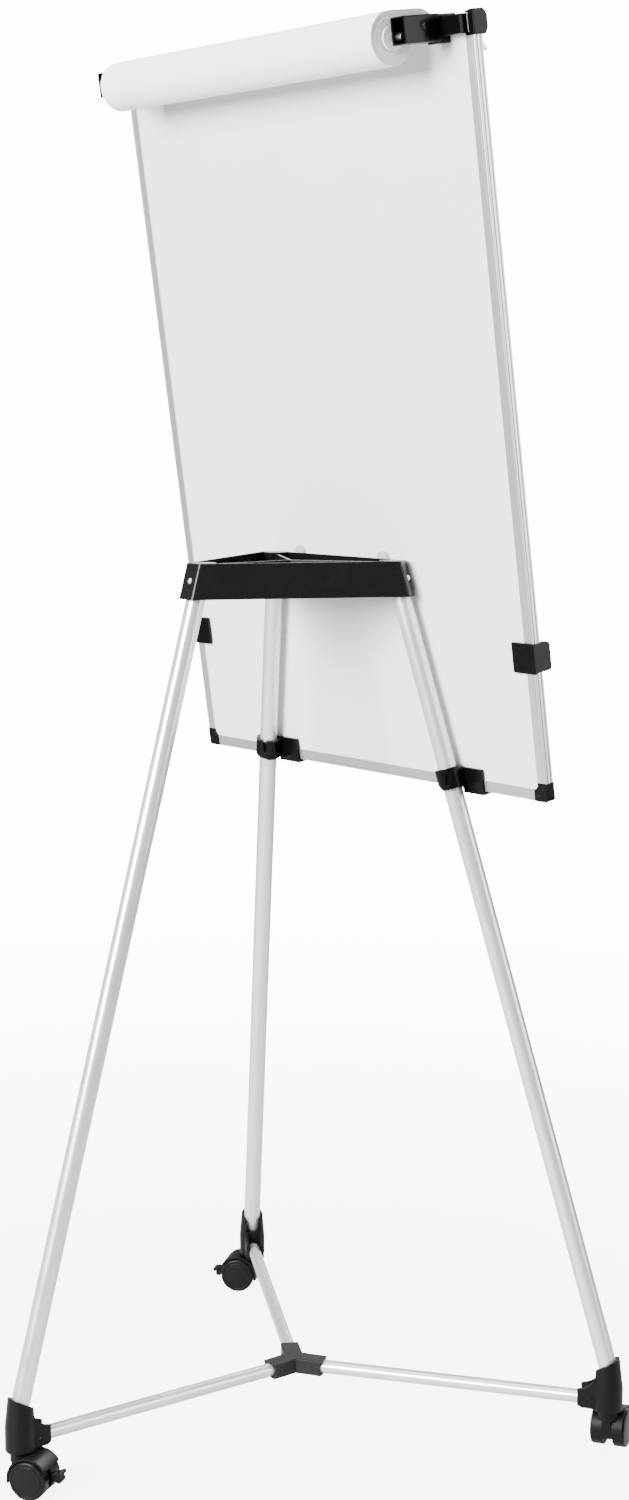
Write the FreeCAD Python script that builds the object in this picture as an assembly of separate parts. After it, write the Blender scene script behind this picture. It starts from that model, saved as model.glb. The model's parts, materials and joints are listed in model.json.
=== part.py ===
import FreeCAD, Part
import os
from math import atan, cos, degrees, radians, sin, sqrt
from FreeCAD import Vector as V

os.makedirs("parts", exist_ok=True)

# ---------------------------------------------------------------- driving dimensions, mm
# The easel is drawn with the hub above the origin, then moved so that the middle of its
# bounding box stands over the origin.
STAND_X, STAND_Y = -15.02645, -92.98905

LEG_R, LEG_WALL = 12.0, 1.5          # round leg tube
FOOT_R, FOOT_Z = 450.0, 69.0         # leg axis meets the strut axis here
HEAD_R, HEAD_Z = 147.0, 1125.0       # leg axis at the head screws
LEG_LOW, LEG_TOP = 90.0, 1141.0      # heights of the tube's two ends

HEAD_LOW, HEAD_HIGH = 1106.0, 1151.0
HEAD_FACE_R, HEAD_FACE_W = 164.0, 14.0   # corner face: distance out at HEAD_Z, half width
HEAD_FRONT_N = 2.2                   # flat front of the head, behind the board's rear plane
HEAD_WALL = 3.0

STRUT_R, STRUT_WALL = 9.0, 1.2
HUB_Z = 55.0                         # height of the strut axes at the hub
STRUT_IN, STRUT_OUT = 10.0, 422.0
HUB_LOW, HUB_HIGH, HUB_W, HUB_L = 46.5, 67.0, 12.5, 44.0

CASTER_R = 438.0                     # swivel axis, distance from the hub
BRACKET_LOW, BRACKET_R = 55.0, 19.0
BRACKET_TOP, BRACKET_TOP_R, BRACKET_TOP_Y = 128.0, 15.5, 436.5
ARM_END, ARM_W, ARM_LOW = 399.5, 13.5, 57.5
STEM_R, STEM_TOP = 5.5, 80.0

WHEEL_R, WHEEL_IN, WHEEL_OUT = 25.0, 6.5, 23.0
TRAIL, AXLE_R = 19.0, 4.0
HOOD_IN, HOOD_OUT, HOOD_W = 26.2, 29.0, 20.5
LEVER_X, LEVER_Z = 28.0, 3.0        # brake pivot from the wheel centre
TRAIL_AZ = {"rear": 211.0, "left": 300.0, "right": 38.0}
LEVER_DOWN = {"rear": 0.0, "left": 0.0, "right": 32.0}

TURN = {"rear": 0.0, "left": 120.0, "right": 240.0}

BOARD_Z = 856.6                      # board's bottom edge, measured on the front legs' plane
BOARD_GAP = 16.0                     # front legs' axis plane to the board's rear plane
BOARD_W, BOARD_T = 700.0, 13.0
LIP = 15.0
FRAME_TOP, RAIL_LOW, RAIL_HIGH = 921.0, 924.5, 946.0
SLOT_FRONT, SLOT_REAR = -10.4, -2.0
SKIN = 0.6
CORNER_X, CORNER_U = 22.0, 24.0

PIVOT_N, PIVOT_U = -17.0, 940.0      # clamp bar hinge
CLAMP_LOW = 902.0

ARM_OUT, ARM_INNER = 312.5, 288.5    # roll arms, both sides
ROLL_N, ROLL_U, ROLL_R, ROLL_X = 63.0, 928.0, 31.5, 277.0
CORE_R, SPINDLE_R = 15.0, 5.0
PAPER_T = 0.4
SHEET_LOW = 212.0
TRAY_LOW, TRAY_HIGH, TRAY_FRONT = 166.5, 188.0, -24.8
CLIP_MIDDLE = {-1: 183.0, 1: 171.0}  # the tray clips' middles, up the board

# ---------------------------------------------------------------- derived
SLOPE = (FOOT_R - HEAD_R) / (HEAD_Z - FOOT_Z)
LEAN = atan(SLOPE)
TILT = atan(SLOPE / 2)
STRUT_RISE = (FOOT_Z - HUB_Z) / FOOT_R
LEG_DIR = V(0, -sin(LEAN), cos(LEAN))
FACE_DIR = V(0, cos(LEAN), sin(LEAN))
REAR_N = V(0, cos(TILT), -sin(TILT))
LEGS_PLANE_Y = -0.5 * (FOOT_R - SLOPE * (BOARD_Z - FOOT_Z))
BOARD_AT = V(0, LEGS_PLANE_Y, BOARD_Z) - REAR_N * BOARD_GAP


def leg_point(z):
    return V(0, FOOT_R - SLOPE * (z - FOOT_Z), z)


def strut_point(y):
    return V(0, y, HUB_Z + STRUT_RISE * y)


def turned(shape, side):
    out = shape.copy()
    out.rotate(V(0, 0, 0), V(0, 0, 1), TURN[side])
    return out


def box(x0, x1, y0, y1, z0, z1):
    return Part.makeBox(x1 - x0, y1 - y0, z1 - z0, V(x0, y0, z0))


def slab(x0, x1, n0, n1, u0, u1):
    """Box on the board: across, towards the rear, up the board."""
    return box(x0, x1, n0, n1, u0, u1)


def on_board(shape):
    out = shape.copy()
    out.Placement = FreeCAD.Placement(BOARD_AT, FreeCAD.Rotation(V(1, 0, 0), -degrees(TILT)))
    return Part.makeCompound([out]).Solids[0] if len(out.Solids) == 1 else out


def rod(radius, start, end):
    line = end - start
    return Part.makeCylinder(radius, line.Length, start, line)


def tube(outer, inner, start, end):
    return rod(outer, start, end).cut(rod(inner, start, end))


def extruded(points, direction):
    wire = Part.makePolygon(list(points) + [points[0]])
    return Part.Face(wire).extrude(direction)


def softened(shape, radius, pick):
    """Fillet the picked edges, or leave the shape as it is if that can't be done."""
    edges = [edge for edge in shape.Edges if pick(edge)]
    if not edges:
        return shape
    try:
        out = shape.makeFillet(radius, edges)
    except Exception:
        return shape
    return out if out.isValid() and out.Solids else shape


def along(edge, direction):
    if edge.Curve.TypeId != "Part::GeomLine":
        return False
    return abs(abs(edge.Curve.Direction.dot(direction)) - 1.0) < 1e-4


def save(name, shape):
    solids = shape.Solids
    moved = []
    for solid in solids:
        part = solid.copy()
        part.translate(V(STAND_X, STAND_Y, 0))
        moved.append(part)
    out = moved[0] if len(moved) == 1 else Part.makeCompound(moved)
    out.exportStep("parts/" + name + ".step")
    BOUNDS.append(out.optimalBoundingBox(True, True))
    volume = sum(solid.Volume for solid in solids)
    flag = "" if all(solid.isValid() for solid in solids) else "  INVALID"
    b = BOUNDS[-1]
    print("%-20s %d solid %9.0f mm3  x %.2f %.2f  y %.2f %.2f  z %.2f %.2f%s" % (
        name, len(solids), volume, b.XMin, b.XMax, b.YMin, b.YMax, b.ZMin, b.ZMax, flag))


# ---------------------------------------------------------------- legs and head
def head_ring(z, inset):
    """Cut-off triangle at height z, its sides moved in by inset."""
    out = HEAD_FACE_R + SLOPE * (HEAD_Z - z) - inset
    width = HEAD_FACE_W - inset * 0.5774
    points = []
    for angle in (90.0, 210.0, 330.0):
        a = radians(angle)
        for side in (-1, 1):
            x = out * cos(a) - side * width * sin(a)
            y = out * sin(a) + side * width * cos(a)
            points.append(V(x, y, z))
    return Part.makePolygon(points + [points[0]])


def head_solid(z0, z1, inset):
    return Part.makeLoft([head_ring(z0, inset), head_ring(z1, inset)], True, True)


def in_front_of(n):
    return on_board(slab(-400, 400, n - 300, n, 100, 500))


def head_ribs():
    """Spokes from the middle to the sockets, and an inner triangle that ties them."""
    low, high = HEAD_LOW + 2, HEAD_HIGH - 2
    ribs = [turned(box(-1.5, 1.5, 0, 132, low, high), side) for side in TURN]
    ribs.append(head_solid(low, high, 40).cut(head_solid(low - 1, high + 1, 42.5)))
    return ribs


def head_shell():
    """Open-topped tray with a sloping wall, closed sockets at its corners and ribs inside."""
    outer = head_solid(HEAD_LOW, HEAD_HIGH, 0)
    outer = softened(outer, 5.0, lambda e: abs(e.BoundBox.ZLength) > 30)
    outer = outer.cut(in_front_of(HEAD_FRONT_N))
    sockets = [turned(rod(15.6, leg_point(1090.0), leg_point(1160.0)), side) for side in TURN]
    block = sockets[0].fuse(sockets[1:]).common(outer)
    cavity = head_solid(HEAD_LOW + 4, HEAD_HIGH + 1, HEAD_WALL)
    cavity = cavity.cut(in_front_of(HEAD_FRONT_N + HEAD_WALL))
    shell = outer.cut(cavity).fuse(block).fuse(head_ribs())
    for side in TURN:
        face = leg_point(HEAD_Z) + FACE_DIR * ((HEAD_FACE_R - HEAD_R) * cos(LEAN))
        shell = shell.cut(turned(rod(LEG_R, leg_point(1080.0), leg_point(LEG_TOP)), side))
        shell = shell.cut(turned(rod(5.6, face - FACE_DIR * 1.8, face + FACE_DIR * 4), side))
        shell = shell.cut(turned(rod(2.0, face - FACE_DIR * 12, face), side))
    return shell.removeSplitter()


def pan_head(radius, depth, base, direction):
    """Domed screw head standing on base."""
    ball_r = (radius * radius + depth * depth) / (2 * depth)
    unit = V(direction).normalize()
    ball = Part.makeSphere(ball_r, base + unit * (depth - ball_r))
    return ball.common(Part.makeCylinder(radius, depth, base, unit))


def head_screws():
    face = leg_point(HEAD_Z) + FACE_DIR * ((HEAD_FACE_R - HEAD_R) * cos(LEAN))
    seat = face - FACE_DIR * 1.8
    screw = pan_head(4.6, 3.4, seat, FACE_DIR).fuse(rod(2.0, seat - FACE_DIR * 9, seat))
    slot = rod(0.9, seat + FACE_DIR * 2.2, seat + FACE_DIR * 6)
    screw = screw.cut(slot)
    return Part.makeCompound([turned(screw, side) for side in TURN])


def head_bumpers():
    discs = []
    for x in (-86.0, 86.0):
        disc = Part.makeCylinder(11, HEAD_FRONT_N - SLOT_REAR - 0.3, V(x, SLOT_REAR + 0.3, 294), V(0, 1, 0))
        disc = softened(disc, 0.8, lambda e: e.BoundBox.YMax < SLOT_REAR + 0.4)
        discs.append(on_board(disc))
    return Part.makeCompound(discs)


def leg_tube(side):
    leg = tube(LEG_R, LEG_R - LEG_WALL, leg_point(LEG_LOW), leg_point(LEG_TOP))
    middle = leg_point(HEAD_Z)
    leg = leg.cut(rod(2.0, middle, middle + FACE_DIR * 20))
    return turned(leg, side)


# ---------------------------------------------------------------- base star
def strut(side):
    bar = tube(STRUT_R, STRUT_R - STRUT_WALL, strut_point(STRUT_IN), strut_point(STRUT_OUT))
    for y in (29.0, 416.0):
        bar = bar.cut(rod(1.8, strut_point(y) + V(-20, 0, 0), strut_point(y)))
    return turned(bar, side)


def hub_arm():
    arm = box(-HUB_W, HUB_W, 0, HUB_L, HUB_LOW, HUB_HIGH)
    arm = softened(arm, 2.0, lambda e: along(e, V(0, 1, 0)) and e.BoundBox.ZMin > HUB_HIGH - 0.1)
    scallop = Part.makeCylinder(22, 60, V(-30, HUB_L + 19, HUB_Z + 1), V(1, 0, 0))
    boss = Part.makeCylinder(5.2, 1.1, V(HUB_W, 27, HUB_Z + 1), V(1, 0, 0))
    return arm.cut(scallop).fuse(boss)


def hub():
    arms = [turned(hub_arm(), side) for side in TURN]
    body = arms[0].fuse(arms[1:])
    for side in TURN:
        bore = rod(STRUT_R, strut_point(STRUT_IN), strut_point(80))
        seat = strut_point(29) + V(-HUB_W, 0, 0)
        hole = rod(1.8, seat + V(-2, 0, 0), strut_point(29))
        sink = Part.makeCylinder(2.8, 3, seat + V(1.2, 0, 0), V(-1, 0, 0))
        body = body.cut(turned(bore, side))
        body = body.cut(turned(hole, side)).cut(turned(sink, side))
    return body.removeSplitter()


def cross_screw(y, wall):
    seat = strut_point(y) + V(-wall + 1.2, 0, 0)
    screw = pan_head(2.6, 1.1, seat, V(-1, 0, 0))
    screw = screw.fuse(rod(1.8, seat, strut_point(y) + V(-4.5, 0, 0)))
    return screw.cut(rod(0.7, seat + V(-0.5, 0, 0), seat + V(-4, 0, 0)))


def hub_screws():
    return Part.makeCompound([turned(cross_screw(29.0, HUB_W), side) for side in TURN])


def foot_screws():
    return Part.makeCompound([turned(cross_screw(416.0, ARM_W), side) for side in TURN])


def bracket_arm():
    """Cheeks that run from the tall socket down to the strut."""
    x = -ARM_W
    low = Part.makePolygon([V(x, 434, 113.5), V(x, 434, ARM_LOW), V(x, 406, ARM_LOW),
                            V(x, ARM_END, 61), V(x, ARM_END, 81.5), V(x, 403, 82.5)])
    curve = Part.Arc(V(x, 403, 82.5), V(x, 417.5, 90.0), V(x, 426, 104)).toShape()
    top = Part.makePolygon([V(x, 426, 104), V(x, 429, 113.5), V(x, 434, 113.5)])
    wire = Part.Wire(Part.sortEdges(low.Edges + [curve] + top.Edges)[0])
    arm = Part.Face(wire).extrude(V(2 * ARM_W, 0, 0))
    return softened(arm, 2.5, lambda e: along(e, V(0, 0, 1)) and e.BoundBox.YMax < ARM_END + 0.1)


def foot_bracket(side):
    lower = Part.makeCylinder(BRACKET_R, 31, V(0, CASTER_R, BRACKET_LOW))
    lower = softened(lower, 2.0, lambda e: e.BoundBox.ZMax < BRACKET_LOW + 0.1)
    ring0 = Part.Wire(Part.makeCircle(BRACKET_R, V(0, CASTER_R, 86)))
    ring1 = Part.Wire(Part.makeCircle(BRACKET_TOP_R, V(0, BRACKET_TOP_Y, BRACKET_TOP)))
    upper = Part.makeLoft([ring0, ring1], True, True)
    body = lower.fuse([upper, bracket_arm()])
    boss = Part.makeCylinder(5.4, 1.1, strut_point(416) + V(ARM_W, 0, 0), V(1, 0, 0))
    body = body.fuse(boss)
    wedge = [V(-30, 400, 96.6), V(-30, 470, 136.2), V(-30, 470, 160), V(-30, 400, 160)]
    body = body.cut(extruded(wedge, V(60, 0, 0)))
    body = body.cut(box(-10.2, 10.2, 395, 433, 94, 140))
    body = body.cut(rod(LEG_R, leg_point(LEG_LOW), leg_point(170)))
    body = body.cut(rod(STRUT_R, strut_point(380), strut_point(STRUT_OUT)))
    body = body.cut(box(-STRUT_R, STRUT_R, 390, STRUT_OUT, strut_point(410).z, 120))
    body = body.cut(Part.makeCylinder(STEM_R + 0.06, 27, V(0, CASTER_R, BRACKET_LOW)))
    seat = strut_point(416) + V(-ARM_W, 0, 0)
    body = body.cut(rod(1.8, seat + V(-2, 0, 0), strut_point(416)))
    body = body.cut(Part.makeCylinder(2.8, 3, seat + V(1.2, 0, 0), V(-1, 0, 0)))
    return turned(body.removeSplitter(), side)


# ---------------------------------------------------------------- casters
# Drawn with the swivel axis on Z, the wheels trailing towards +X and the axle along Y.
HUBC = V(TRAIL, 0, WHEEL_R)


def placed_caster(shape, side):
    out = shape.copy()
    out.rotate(V(0, 0, 0), V(0, 0, 1), TRAIL_AZ[side])
    a = radians(90.0 + TURN[side])
    out.translate(V(CASTER_R * cos(a), CASTER_R * sin(a), 0))
    return out


def across(radius, half, at):
    return Part.makeCylinder(radius, 2 * half, at + V(0, -half, 0), V(0, 1, 0))


def caster_hood():
    ring = across(HOOD_OUT, HOOD_W, HUBC).cut(across(HOOD_IN, HOOD_W + 1, HUBC))
    c, s = cos(radians(32)), sin(radians(32))
    keep = [HUBC + V(0, -30, 0), HUBC + V(60 * c, -30, 60 * s), HUBC + V(60, -30, 70),
            HUBC + V(-60, -30, 70), HUBC + V(-60, -30, 0)]
    shell = ring.common(extruded(keep, V(0, 60, 0)))
    wall = box(TRAIL - HOOD_OUT, TRAIL - HOOD_IN, -HOOD_W, HOOD_W, 19, WHEEL_R)
    boss = Part.makeCylinder(13, 11.7, V(0, 0, 43)).cut(across(HOOD_IN, 40, HUBC))
    web = across(HOOD_OUT - 1, 6, HUBC).common(box(-20, 80, -6, 6, 17, 90))
    web = web.fuse(box(TRAIL - HOOD_OUT, TRAIL, -6, 6, 19, 48))
    pivot = HUBC + V(LEVER_X, 0, LEVER_Z)
    lug = box(TRAIL + 20, pivot.x, -3, 3, pivot.z - 4, pivot.z + 4).fuse(across(4.2, 3, pivot))
    clear = across(5.4, 20, pivot).cut(box(0, 80, -3, 3, 0, 80))
    hood = shell.fuse([wall, boss, web]).cut(clear).fuse(lug)
    hood = hood.fuse(Part.makeCylinder(STEM_R, STEM_TOP - 50, V(0, 0, 50)))
    hood = hood.cut(across(AXLE_R, 30, HUBC)).cut(across(1.56, 30, pivot))
    return hood.removeSplitter()


def caster_axle():
    return across(AXLE_R, 21.0, HUBC)


def wheel(sign):
    points = [V(3, 21.6, 0), V(AXLE_R + 0.05, 21.6, 0), V(AXLE_R + 0.05, WHEEL_IN, 0),
              V(WHEEL_R - 1, WHEEL_IN, 0), V(WHEEL_R, WHEEL_IN + 1, 0),
              V(WHEEL_R, WHEEL_OUT - 3, 0)]
    edges = [Part.makeLine(a, b) for a, b in zip(points, points[1:])]
    edges.append(Part.Arc(points[-1], V(24.2, 22.2, 0), V(22, WHEEL_OUT, 0)).toShape())
    rim = [V(22, WHEEL_OUT, 0), V(20.4, WHEEL_OUT, 0), V(20.0, 22.5, 0), V(19.3, 22.5, 0),
           V(18.9, 23.1, 0)]
    edges += [Part.makeLine(a, b) for a, b in zip(rim, rim[1:])]
    edges.append(Part.Arc(rim[-1], V(10.5, 23.9, 0), V(3, 24.15, 0)).toShape())
    edges.append(Part.makeLine(V(3, 24.15, 0), points[0]))
    disc = Part.Face(Part.Wire(edges)).revolve(V(0, 0, 0), V(0, 1, 0), 360)
    solid = disc if disc.ShapeType == "Solid" else Part.makeSolid(disc)
    solid = solid.fuse(Part.makeCylinder(3, 2.55, V(0, 21.6, 0), V(0, 1, 0))).removeSplitter()
    if sign < 0:
        solid = solid.mirror(V(0, 0, 0), V(0, 1, 0))
    solid.translate(HUBC)
    return solid


def brake_lever(side):
    arms = [box(0, 7, y0, y1, -1.5, 3.4) for y0, y1 in ((-6.2, -3.4), (3.4, 6.2))]
    barrels = [Part.makeCylinder(4.2, 2.8, V(0, y, 0), V(0, 1, 0)) for y in (-6.2, 3.4)]
    paddle = box(5.2, 13.6, -8.0, 8.0, -1.5, 3.4)
    paddle = softened(paddle, 1.4, lambda e: along(e, V(0, 1, 0)) and e.BoundBox.XMin > 13)
    lobe = Part.makeCylinder(4.4, 12.4, V(6.4, -6.2, -5.2), V(0, 1, 0))
    pin = Part.makeCylinder(1.5, 12.4, V(0, -6.2, 0), V(0, 1, 0))
    lever = paddle.fuse(arms + barrels + [lobe])
    lever = lever.cut(Part.makeCylinder(4.6, 6.6, V(0, -3.3, 0), V(0, 1, 0)))
    lever = lever.fuse(pin).removeSplitter()
    lever.rotate(V(0, 0, 0), V(0, 1, 0), -22.0 + LEVER_DOWN[side])
    lever.translate(HUBC + V(LEVER_X, 0, LEVER_Z))
    return lever


# ---------------------------------------------------------------- leg clips
def leg_clip(side):
    start, end = turned_points(side, 860.5, 886.5)
    body = rod(17, start, end)
    hollow = rod(LEG_R + 0.06, start - (end - start), end + (end - start))
    x0, x1 = (-237.0, -200.0) if side == "left" else (140.0, 182.0)
    plate = slab(x0, x1, 0.6, 3.7, -3.8, 30)
    shelf = slab(x0, x1 - 6, -16, 3.7, -3.8, -0.4)
    tip = slab(x0, x1 - 6, -16, -13.4, -3.8, 5)
    extra = on_board(plate.fuse([shelf, tip]).removeSplitter())
    pocket_at = (start + end) * 0.5
    cut_dir = V(-0.6, 0.8, 0)
    pocket = Part.makeBox(5, 12, 15, V(-2.5, 14.2, -7.5))
    pocket.rotate(V(0, 0, 0), V(0, 0, 1), degrees(atan(0.75)))
    pocket.translate(pocket_at)
    body = body.cut(on_board(slab(-400, 400, -60, 0.6, -200, 300)))
    x = ((start + end) * 0.5).x
    wedge = [V(x + 30, -60, 18), V(x + 12, -60, 11), V(x - 9, -60, 2), V(x - 9, -60, -60),
             V(x + 30, -60, -60)]
    body = body.cut(on_board(extruded(wedge, V(0, 200, 0))))
    body = body.cut(pocket).fuse(extra).cut(hollow)
    return body.removeSplitter()


def turned_points(side, z0, z1):
    out = []
    for z in (z0, z1):
        point = Part.Vertex(leg_point(z))
        point.rotate(V(0, 0, 0), V(0, 0, 1), TURN[side])
        out.append(V(point.X, point.Y, point.Z))
    return out


# ---------------------------------------------------------------- board
HALF = BOARD_W / 2


def frame_side(sign):
    bar = slab(HALF - LIP, HALF, -BOARD_T, 0, CORNER_U, FRAME_TOP)
    bar = softened(bar, 1.5, lambda e: along(e, V(0, 0, 1)) and e.BoundBox.XMin > HALF - 0.1)
    bar = bar.cut(slab(HALF - LIP - 1, HALF - 3, SLOT_FRONT, SLOT_REAR, 0, 1000))
    for n in (-9.8, -4.4):
        bar = bar.cut(slab(HALF - 1.3, HALF + 1, n, n + 1.5, 0, 1000))
    bar = bar.cut(slab(HALF - 4.6, HALF - 3.6, -0.7, 1, 0, 1000))
    return on_board(bar if sign > 0 else bar.mirror(V(0, 0, 0), V(1, 0, 0)))


def frame_bottom():
    bar = slab(-HALF + CORNER_X, HALF - CORNER_X, -BOARD_T, 0, 0, LIP)
    bar = softened(bar, 1.5, lambda e: along(e, V(1, 0, 0)) and e.BoundBox.ZMax < 0.1)
    bar = bar.cut(slab(-400, 400, SLOT_FRONT, SLOT_REAR, 3, LIP + 1))
    bar = bar.cut(slab(-400, 400, -0.7, 1, 3.6, 4.6))
    return on_board(bar)


def corner_piece(sign):
    outline = [V(HALF - CORNER_X, 0, 0), V(HALF, 0, 0), V(HALF, 0, CORNER_U),
               V(HALF - LIP, 0, CORNER_U), V(HALF - LIP, 0, LIP + 5),
               V(HALF - LIP - 4, 0, LIP), V(HALF - CORNER_X, 0, LIP)]
    block = extruded([p + V(0, -BOARD_T - 0.4, 0) for p in outline], V(0, BOARD_T + 0.9, 0))
    block = softened(block, 4.0, lambda e: along(e, V(0, 1, 0)) and e.BoundBox.XMin > HALF - 0.1
                     and e.BoundBox.ZMax < 0.1)
    block = block.cut(slab(HALF - CORNER_X - 1, HALF - 3, SLOT_FRONT, SLOT_REAR, 3, 30))
    dip = Part.makeCylinder(6, 1, V(HALF - 11, 0.1, 12), V(0, 1, 0))
    dip = dip.cut(Part.makeCylinder(4.6, 1, V(HALF - 11, 0.1, 12), V(0, 1, 0)))
    block = block.cut(dip)
    return on_board(block if sign > 0 else block.mirror(V(0, 0, 0), V(1, 0, 0)))


def panel(n0, n1):
    edge = HALF - 3.2
    layer = slab(-edge, edge, n0, n1, 3.2, FRAME_TOP - 0.4)
    return on_board(layer.fuse(slab(-343.6, 343.6, n0, n1, 900, 932)).removeSplitter())


def top_rail():
    bar = slab(-344, 344, -BOARD_T, 3, RAIL_LOW, RAIL_HIGH)
    bar = softened(bar, 2.5, lambda e: along(e, V(1, 0, 0)) and e.BoundBox.ZMin > RAIL_HIGH - 0.1)
    bar = bar.cut(slab(-400, 400, SLOT_FRONT, SLOT_REAR, RAIL_LOW - 1, 932.2))
    bar = bar.cut(slab(-400, 400, -9.5, -0.5, 934.5, 943.5))
    return on_board(bar)


def end_cap(sign):
    outline = [V(0, 2.5, 921), V(0, 2.5, 948), V(0, 0.5, 950), V(0, -14, 950), V(0, -17.5, 947.5),
               V(0, -20.5, 942), V(0, -20.5, 928), V(0, -17, 921)]
    cap = extruded([p + V(344, 0, 0) for p in outline], V(9.3, 0, 0))
    cap = softened(cap, 1.2, lambda e: e.BoundBox.XMin > 353.2)
    cap = cap.fuse([slab(339.5, 345, -6, 2.5, 946.4, 949), slab(338, 345, 0.1, 2.5, 921, 924.2)])
    pin = Part.makeCylinder(1.56, 7, V(343, PIVOT_N, PIVOT_U), V(1, 0, 0))
    cap = cap.cut(pin).removeSplitter()
    return on_board(cap if sign > 0 else cap.mirror(V(0, 0, 0), V(1, 0, 0)))


def clamp_bar():
    bar = slab(-343, 343, -20, -14, CLAMP_LOW, PIVOT_U)
    bar = bar.fuse(Part.makeCylinder(3, 686, V(-343, PIVOT_N, PIVOT_U), V(1, 0, 0)))
    lip = [V(-343, -20, CLAMP_LOW), V(-343, -25, CLAMP_LOW + 1), V(-343, -25, CLAMP_LOW + 3),
           V(-343, -20, CLAMP_LOW + 9)]
    bar = bar.fuse(extruded(lip, V(686, 0, 0)))
    bar = bar.fuse(Part.makeCylinder(1.5, 699.2, V(-349.6, PIVOT_N, PIVOT_U), V(1, 0, 0)))
    return on_board(bar.removeSplitter())


def pen_tray():
    floor = TRAY_LOW + 1.6
    shape = [V(0, -13.4, TRAY_LOW), V(0, TRAY_FRONT, TRAY_LOW), V(0, TRAY_FRONT, TRAY_LOW + 12),
             V(0, TRAY_FRONT + 1.0, TRAY_LOW + 12), V(0, TRAY_FRONT + 1.5, floor),
             V(0, -15.0, floor), V(0, -14.6, TRAY_HIGH), V(0, -13.4, TRAY_HIGH)]
    return on_board(extruded([p + V(-346, 0, 0) for p in shape], V(692, 0, 0)))


def tray_clip(sign):
    middle = CLIP_MIDDLE[sign]
    low, high = middle - 19.0, middle + 19.0
    rear = slab(315, 353.6, 0.1, 3.2, low, high)
    rear = softened(rear, 1.5, lambda e: along(e, V(0, 1, 0)) and e.BoundBox.XMax < 316)
    side = slab(350.3, 353.6, -16, 3.2, low + 1, high - 1)
    cheek = slab(346.2, 353.6, -25.5, -13.4, low + 1, high - 1)
    cheek = softened(cheek, 5.0, lambda e: along(e, V(1, 0, 0)) and e.BoundBox.YMax < -25)
    clip = rear.fuse([side, cheek]).removeSplitter()
    clip = softened(clip, 0.8, lambda e: along(e, V(0, 0, 1)) and e.BoundBox.XMin > 353.5)
    return on_board(clip if sign > 0 else clip.mirror(V(0, 0, 0), V(1, 0, 0)))


# ---------------------------------------------------------------- roll holder
def roll_arm(sign):
    main = slab(ARM_INNER, ARM_OUT, 18, 72, 918.5, 950)
    main = softened(main, 1.6, lambda e: along(e, V(0, 1, 0)))
    neck = slab(ARM_INNER + 2, ARM_OUT - 4, 3.05, 19, 918.5, 948)
    hook = slab(ARM_INNER, ARM_OUT, -8, 19, 946.4, 949.4)
    foot = slab(ARM_INNER, ARM_OUT - 3.5, 0.1, 3.6, 916.5, 924.2)
    web = slab(ARM_INNER + 2, ARM_OUT - 4, 3.05, 19, 916.5, 920)
    reach = slab(ARM_OUT - 5, 343.4, 3.3, 15, 923.5, 946)
    reach = softened(reach, 1.5, lambda e: along(e, V(1, 0, 0)) and e.BoundBox.YMin > 14.5)
    arm = main.fuse([neck, hook, foot, web, reach]).removeSplitter()
    arm = arm.cut(slab(ARM_INNER + 2, ARM_OUT - 2, 50, 73, 920.5, 948))
    spindle = Part.makeCylinder(SPINDLE_R + 0.06, 6, V(ARM_INNER - 2, ROLL_N, ROLL_U), V(1, 0, 0))
    screw = Part.makeCylinder(2.5, 14, V(ARM_OUT + 1, 43, 938), V(-1, 0, 0))
    sink = Part.makeCylinder(5.6, 3, V(ARM_OUT - 1.0, 43, 938), V(1, 0, 0))
    arm = arm.cut(spindle).cut(screw).cut(sink)
    return on_board(arm if sign > 0 else arm.mirror(V(0, 0, 0), V(1, 0, 0)))


def arm_screws():
    seat = V(ARM_OUT - 1.0, 43, 938)
    screw = pan_head(5.0, 2.4, seat, V(1, 0, 0)).fuse(rod(2.5, seat, seat + V(-12, 0, 0)))
    for y, z in ((3.0, 0.6), (0.6, 3.0)):
        screw = screw.cut(box(seat.x + 1.0, seat.x + 4, 43 - y, 43 + y, 938 - z, 938 + z))
    other = screw.mirror(V(0, 0, 0), V(1, 0, 0))
    return Part.makeCompound([on_board(screw), on_board(other)])


def along_roll(radius, x0, x1):
    return Part.makeCylinder(radius, x1 - x0, V(x0, ROLL_N, ROLL_U), V(1, 0, 0))


def roll_spindle():
    return on_board(along_roll(SPINDLE_R, -299, 299))


def roll_plugs():
    plugs = []
    for x0, x1 in ((-ROLL_X - 3, -ROLL_X + 22), (ROLL_X - 22, ROLL_X + 3)):
        plug = along_roll(CORE_R - 2, x0, x1)
        flange = (x0, -ROLL_X) if x0 < 0 else (ROLL_X, x1)
        plug = plug.fuse(along_roll(CORE_R - 0.4, flange[0], flange[1]))
        plugs.append(on_board(plug.cut(along_roll(SPINDLE_R, x0 - 1, x1 + 1)).removeSplitter()))
    return Part.makeCompound(plugs)


def roll_core():
    return on_board(along_roll(CORE_R, -ROLL_X, ROLL_X).cut(along_roll(CORE_R - 2, -300, 300)))


def paper_roll():
    return on_board(along_roll(ROLL_R, -ROLL_X, ROLL_X).cut(along_roll(CORE_R, -300, 300)))


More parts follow.
